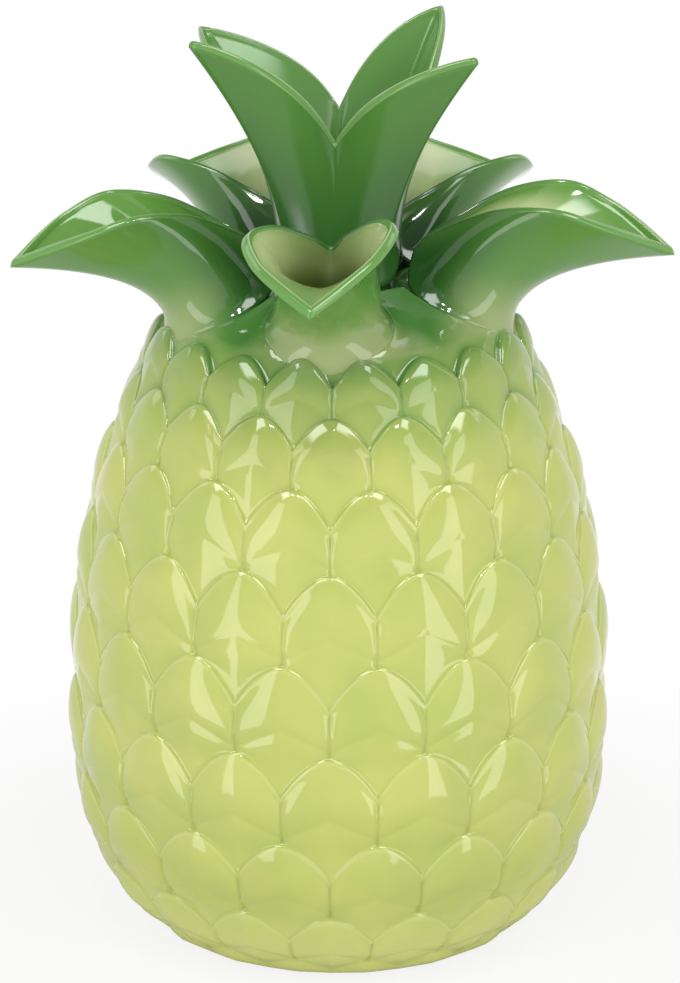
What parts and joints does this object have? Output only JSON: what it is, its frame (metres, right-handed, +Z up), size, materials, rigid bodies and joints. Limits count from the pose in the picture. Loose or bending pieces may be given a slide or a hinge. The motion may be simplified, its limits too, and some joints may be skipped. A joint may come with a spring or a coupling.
{
  "type": "pineapple vase",
  "caption": "Glazed ceramic vase shaped as a pineapple: a hollow scaled body with leaf-shaped funnel spouts round its shoulder and a leaf crown tube on top, all open for stems.",
  "frame": {"origin": "middle of the flat foot, on the surface that the vase stands on", "axes": "+Z up along the body's axis, -Y towards the front spout's side of the picture"},
  "size_m": [0.2398, 0.2303, 0.3456],
  "materials": {
    "fruit_glaze": "glossy yellow-green glaze, sprayed green at the shoulder",
    "leaf_glaze": "glossy leaf-green glaze, paler inside",
    "crown_glaze": "glossy deep leaf-green glaze"
  },
  "bodies": {
    "root": {"fruit_body": "fruit_glaze", "deck": "leaf_glaze", "spout_front": "leaf_glaze", "spout_right": "leaf_glaze", "spout_back_right": "leaf_glaze", "spout_back_left": "leaf_glaze", "spout_left": "leaf_glaze", "leaf_crown": "crown_glaze"}
  },
  "joints": []
}
